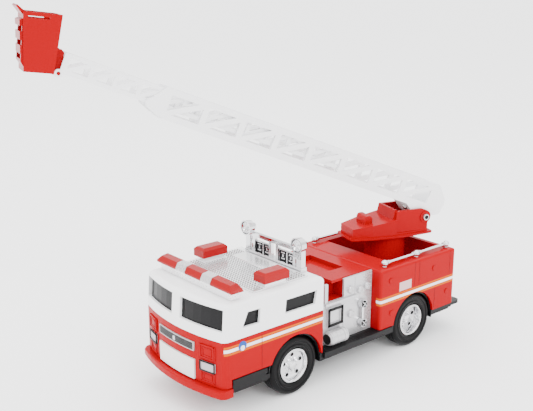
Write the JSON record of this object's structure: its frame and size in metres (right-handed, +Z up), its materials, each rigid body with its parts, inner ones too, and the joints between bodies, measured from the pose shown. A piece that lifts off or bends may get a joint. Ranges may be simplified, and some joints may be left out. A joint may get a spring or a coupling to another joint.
{
  "type": "toy fire engine",
  "caption": "Red and white toy fire engine with pump panels, light bar, turning base and an extending white ladder with a tilting rescue basket.",
  "frame": {"origin": "bottom centre of the whole toy's bounding box, on the ground, with the ladder out and turned as stored", "axes": "-Y is the engine's front, +X its left side and +Z up"},
  "size_m": [0.1512, 0.3356, 0.2802],
  "materials": {
    "red_abs": "glossy moulded ABS",
    "white_abs": "glossy moulded ABS",
    "black_abs": "satin moulded ABS",
    "chrome_plating": "vacuum-metallised ABS, mirror bright",
    "silver_paint": "silver-painted ABS",
    "red_lens": "tinted translucent polystyrene",
    "clear_lens": "clear polystyrene over silver",
    "tyre_rubber": "soft black rubber-like plastic",
    "ivory_plate": "pale moulded ABS",
    "dark_window": "smoked opaque plastic",
    "zinc_steel": "zinc plated",
    "board_green": "circuit board",
    "cell_jacket": null,
    "speaker_cone": "matt cone"
  },
  "bodies": {
    "truck": {"cab_lower_shell": "red_abs", "front_bumper": "red_abs", "mid_deck": "red_abs", "rear_body": "red_abs", "cab_upper_shell": "white_abs", "chassis": "black_abs", "battery_door": "black_abs", "grille_mesh": "black_abs", "roof_tread_plate": "chrome_plating", "light_rack": "chrome_plating", "handrail_left": "chrome_plating", "handrail_right": "chrome_plating", "intake_left": "chrome_plating", "intake_right": "chrome_plating", "light_bar_base": "silver_paint", "grille_frame": "silver_paint", "pump_panel_left": "silver_paint", "pump_panel_right": "silver_paint", "light_bar_lens_left": "red_lens", "light_bar_lens_centre": "red_lens", "light_bar_lens_right": "red_lens", "beacon_left": "red_lens", "beacon_right": "red_lens", "headlight_left": "clear_lens", "headlight_right": "clear_lens", "window_insert": "dark_window", "chassis_screw_1": "zinc_steel", "chassis_screw_2": "zinc_steel", "chassis_screw_3": "zinc_steel", "chassis_screw_4": "zinc_steel", "battery_door_screw": "zinc_steel", "battery_contact_front": "zinc_steel", "battery_contact_rear": "zinc_steel", "circuit_board": "board_green", "light_bar_leds": "board_green", "battery_1": "cell_jacket", "battery_2": "cell_jacket", "battery_3": "cell_jacket", "speaker": "speaker_cone"},
    "front_wheels": {"front_axle": "zinc_steel", "front_rim_left": "chrome_plating", "front_rim_right": "chrome_plating", "front_tyre_left": "tyre_rubber", "front_tyre_right": "tyre_rubber"},
    "rear_wheels": {"rear_axle": "zinc_steel", "rear_rim_left": "chrome_plating", "rear_rim_right": "chrome_plating", "rear_tyre_left": "tyre_rubber", "rear_tyre_right": "tyre_rubber"},
    "turning_base": {"turntable": "red_abs", "turntable_retainer": "zinc_steel", "ladder_hinge_screw": "zinc_steel"},
    "ladder": {"ladder_lower": "white_abs", "ladder_arm_screw": "zinc_steel"},
    "fly_ladder": {"ladder_upper": "white_abs", "basket_pin": "red_abs"},
    "rescue_basket": {"basket": "red_abs"},
    "press_plate": {"front_plate": "ivory_plate"},
    "switch_knob": {"power_switch": "black_abs"}
  },
  "joints": [
    {"name": "front_wheels_spin", "type": "hinge", "parent": "truck", "child": "front_wheels", "pos_m": [0.02641, -0.02973, 0.0224], "axis": [1, 0, 0], "continuous": true},
    {"name": "rear_wheels_spin", "type": "hinge", "parent": "truck", "child": "rear_wheels", "pos_m": [0.02641, 0.10077, 0.0224], "axis": [1, 0, 0], "continuous": true},
    {"name": "turntable_turn", "type": "hinge", "parent": "truck", "child": "turning_base", "pos_m": [0.02641, 0.11527, 0.085], "axis": [0, 0, 1], "continuous": true},
    {"name": "ladder_raise", "type": "hinge", "parent": "turning_base", "child": "ladder", "pos_m": [0.03549, 0.14355, 0.0996], "axis": [-0.9521, 0.3057, 0], "range_deg": [-15, 38]},
    {"name": "fly_extend", "type": "slide", "parent": "ladder", "child": "fly_ladder", "axis": [-0.2834, -0.8828, 0.3746], "range_m": [-0.055, 0]},
    {"name": "basket_tilt", "type": "hinge", "parent": "fly_ladder", "child": "rescue_basket", "pos_m": [-0.05558, -0.1401, 0.23355], "axis": [-0.9521, 0.3057, 0], "range_deg": [-75, 8]},
    {"name": "front_plate_press", "type": "slide", "parent": "truck", "child": "press_plate", "axis": [0, 1, 0], "range_m": [0, 0.0019], "stiffness_N_per_m": 150, "springref_m": -0.001},
    {"name": "power_switch_slide", "type": "slide", "parent": "truck", "child": "switch_knob", "axis": [0, 1, 0], "range_m": [0, 0.004]}
  ]
}
